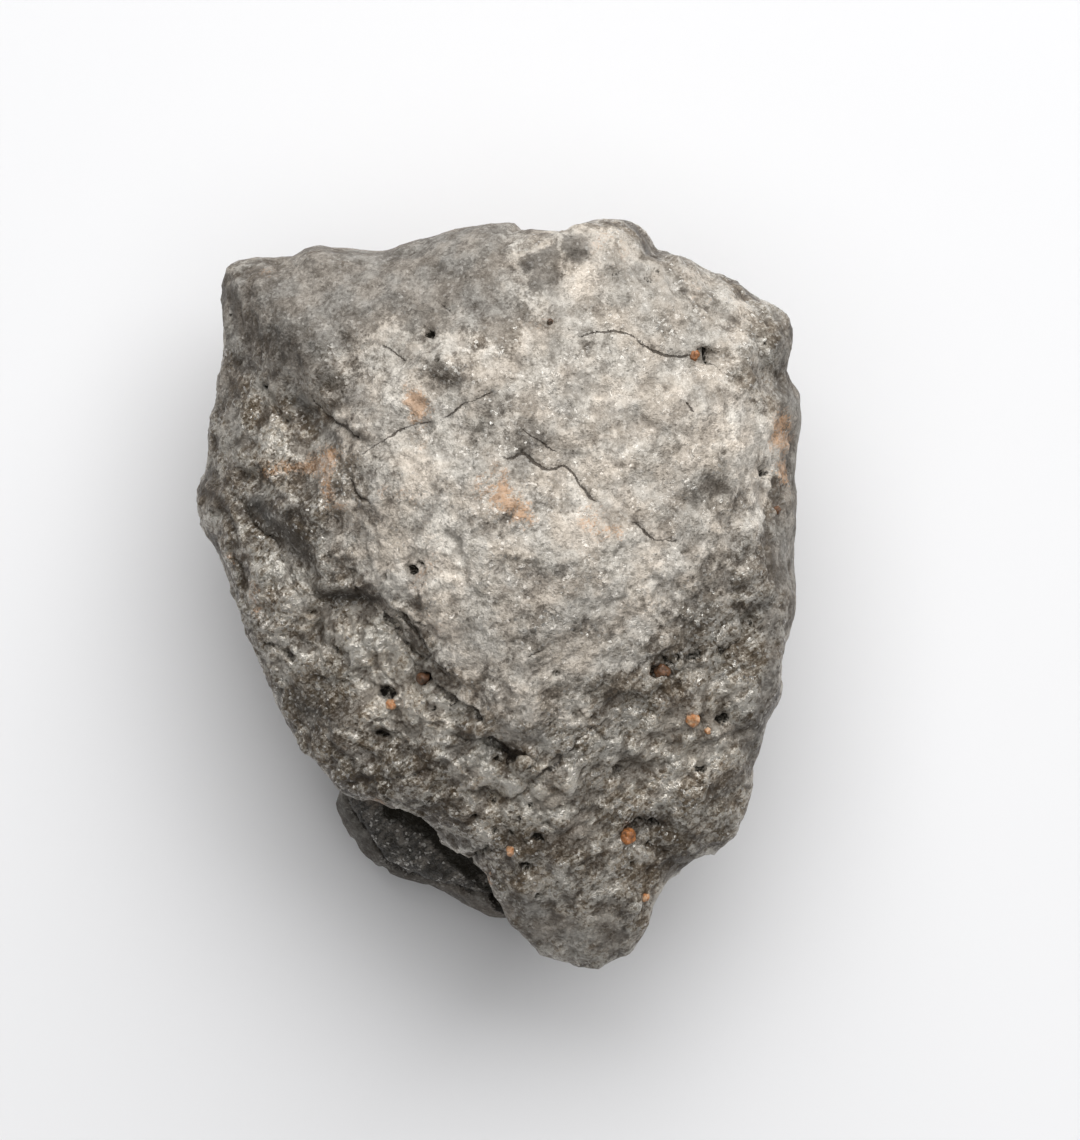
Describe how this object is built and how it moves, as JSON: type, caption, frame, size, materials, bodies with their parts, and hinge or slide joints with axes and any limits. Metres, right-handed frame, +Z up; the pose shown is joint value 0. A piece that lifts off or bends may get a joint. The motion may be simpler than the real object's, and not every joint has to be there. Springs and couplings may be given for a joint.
{
  "type": "rough black diamond",
  "caption": "Uncut lump of rough black diamond: a rounded, ledged stone with a dusty weathered top, pores and a dark lobe low on one side.",
  "frame": {"origin": "on the floor, under the middle of the stone's bounding box", "axes": "+Z up with the weathered face on top, +Y along the stone's long way with its narrow foot towards -Y"},
  "size_m": [0.02, 0.0248, 0.0141],
  "materials": {
    "black_diamond": "dull granular dark grey with tiny glinting crystal faces, cream dust on top and a few ochre stains"
  },
  "bodies": {
    "root": {"stone": "black_diamond"}
  },
  "joints": []
}
